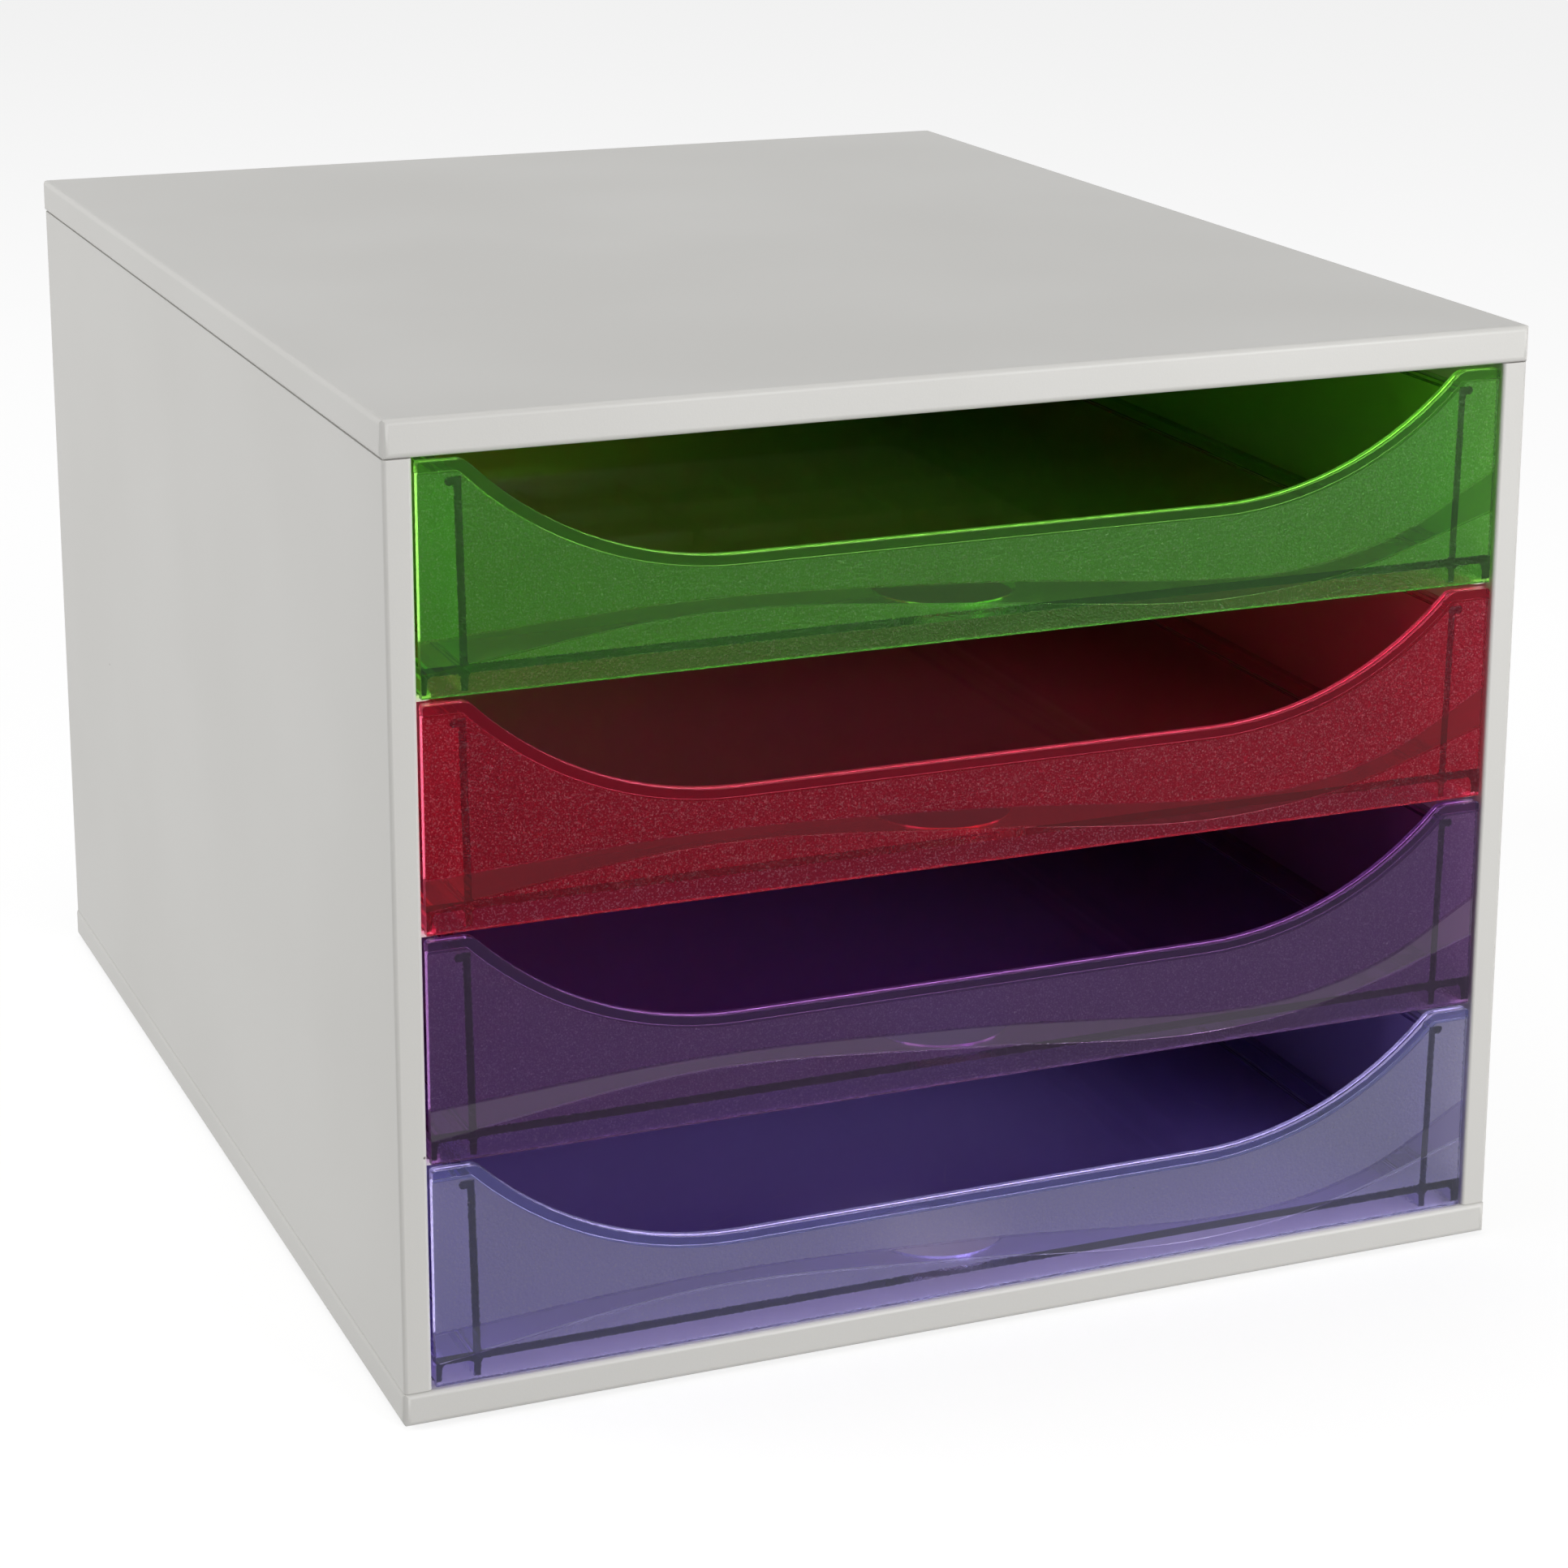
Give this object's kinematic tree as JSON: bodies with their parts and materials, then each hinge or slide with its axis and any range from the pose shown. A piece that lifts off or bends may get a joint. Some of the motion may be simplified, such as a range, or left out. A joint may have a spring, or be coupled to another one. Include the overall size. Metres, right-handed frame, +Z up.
{
  "type": "desktop drawer tower",
  "caption": "Light grey desktop drawer box with stacked translucent sliding trays, each with a wide hand cut-out in its front, for sorting A4+ papers and small supplies.",
  "frame": {"origin": "middle of the footprint, on the surface that the pads stand on", "axes": "+Z up; the drawers face -Y and pull out along -Y; +X is to the right of someone facing the drawers"},
  "size_m": [0.284, 0.348, 0.234],
  "materials": {
    "case_plastic": "fine matt grain, light warm grey",
    "green_plastic": "translucent green, frosted front with a polished bead and band",
    "red_plastic": "translucent red, frosted front with a polished bead and band",
    "purple_plastic": "translucent purple, frosted front with a polished bead and band",
    "blue_plastic": "translucent pale blue, frosted front with a polished bead and band",
    "pad_rubber": "dark grey, matt"
  },
  "bodies": {
    "case": {"top_panel": "case_plastic", "base_panel": "case_plastic", "left_side_panel": "case_plastic", "right_side_panel": "case_plastic", "back_panel": "case_plastic", "front_left_pad": "pad_rubber", "front_right_pad": "pad_rubber", "rear_left_pad": "pad_rubber", "rear_right_pad": "pad_rubber"},
    "green_tray": {"green_drawer": "green_plastic"},
    "red_tray": {"red_drawer": "red_plastic"},
    "purple_tray": {"purple_drawer": "purple_plastic"},
    "blue_tray": {"blue_drawer": "blue_plastic"}
  },
  "joints": [
    {"name": "green_slide", "type": "slide", "parent": "case", "child": "green_tray", "axis": [0, -1, 0], "range_m": [0, 0.2751]},
    {"name": "red_slide", "type": "slide", "parent": "case", "child": "red_tray", "axis": [0, -1, 0], "range_m": [0, 0.2751]},
    {"name": "purple_slide", "type": "slide", "parent": "case", "child": "purple_tray", "axis": [0, -1, 0], "range_m": [0, 0.2751]},
    {"name": "blue_slide", "type": "slide", "parent": "case", "child": "blue_tray", "axis": [0, -1, 0], "range_m": [0, 0.2751]}
  ]
}
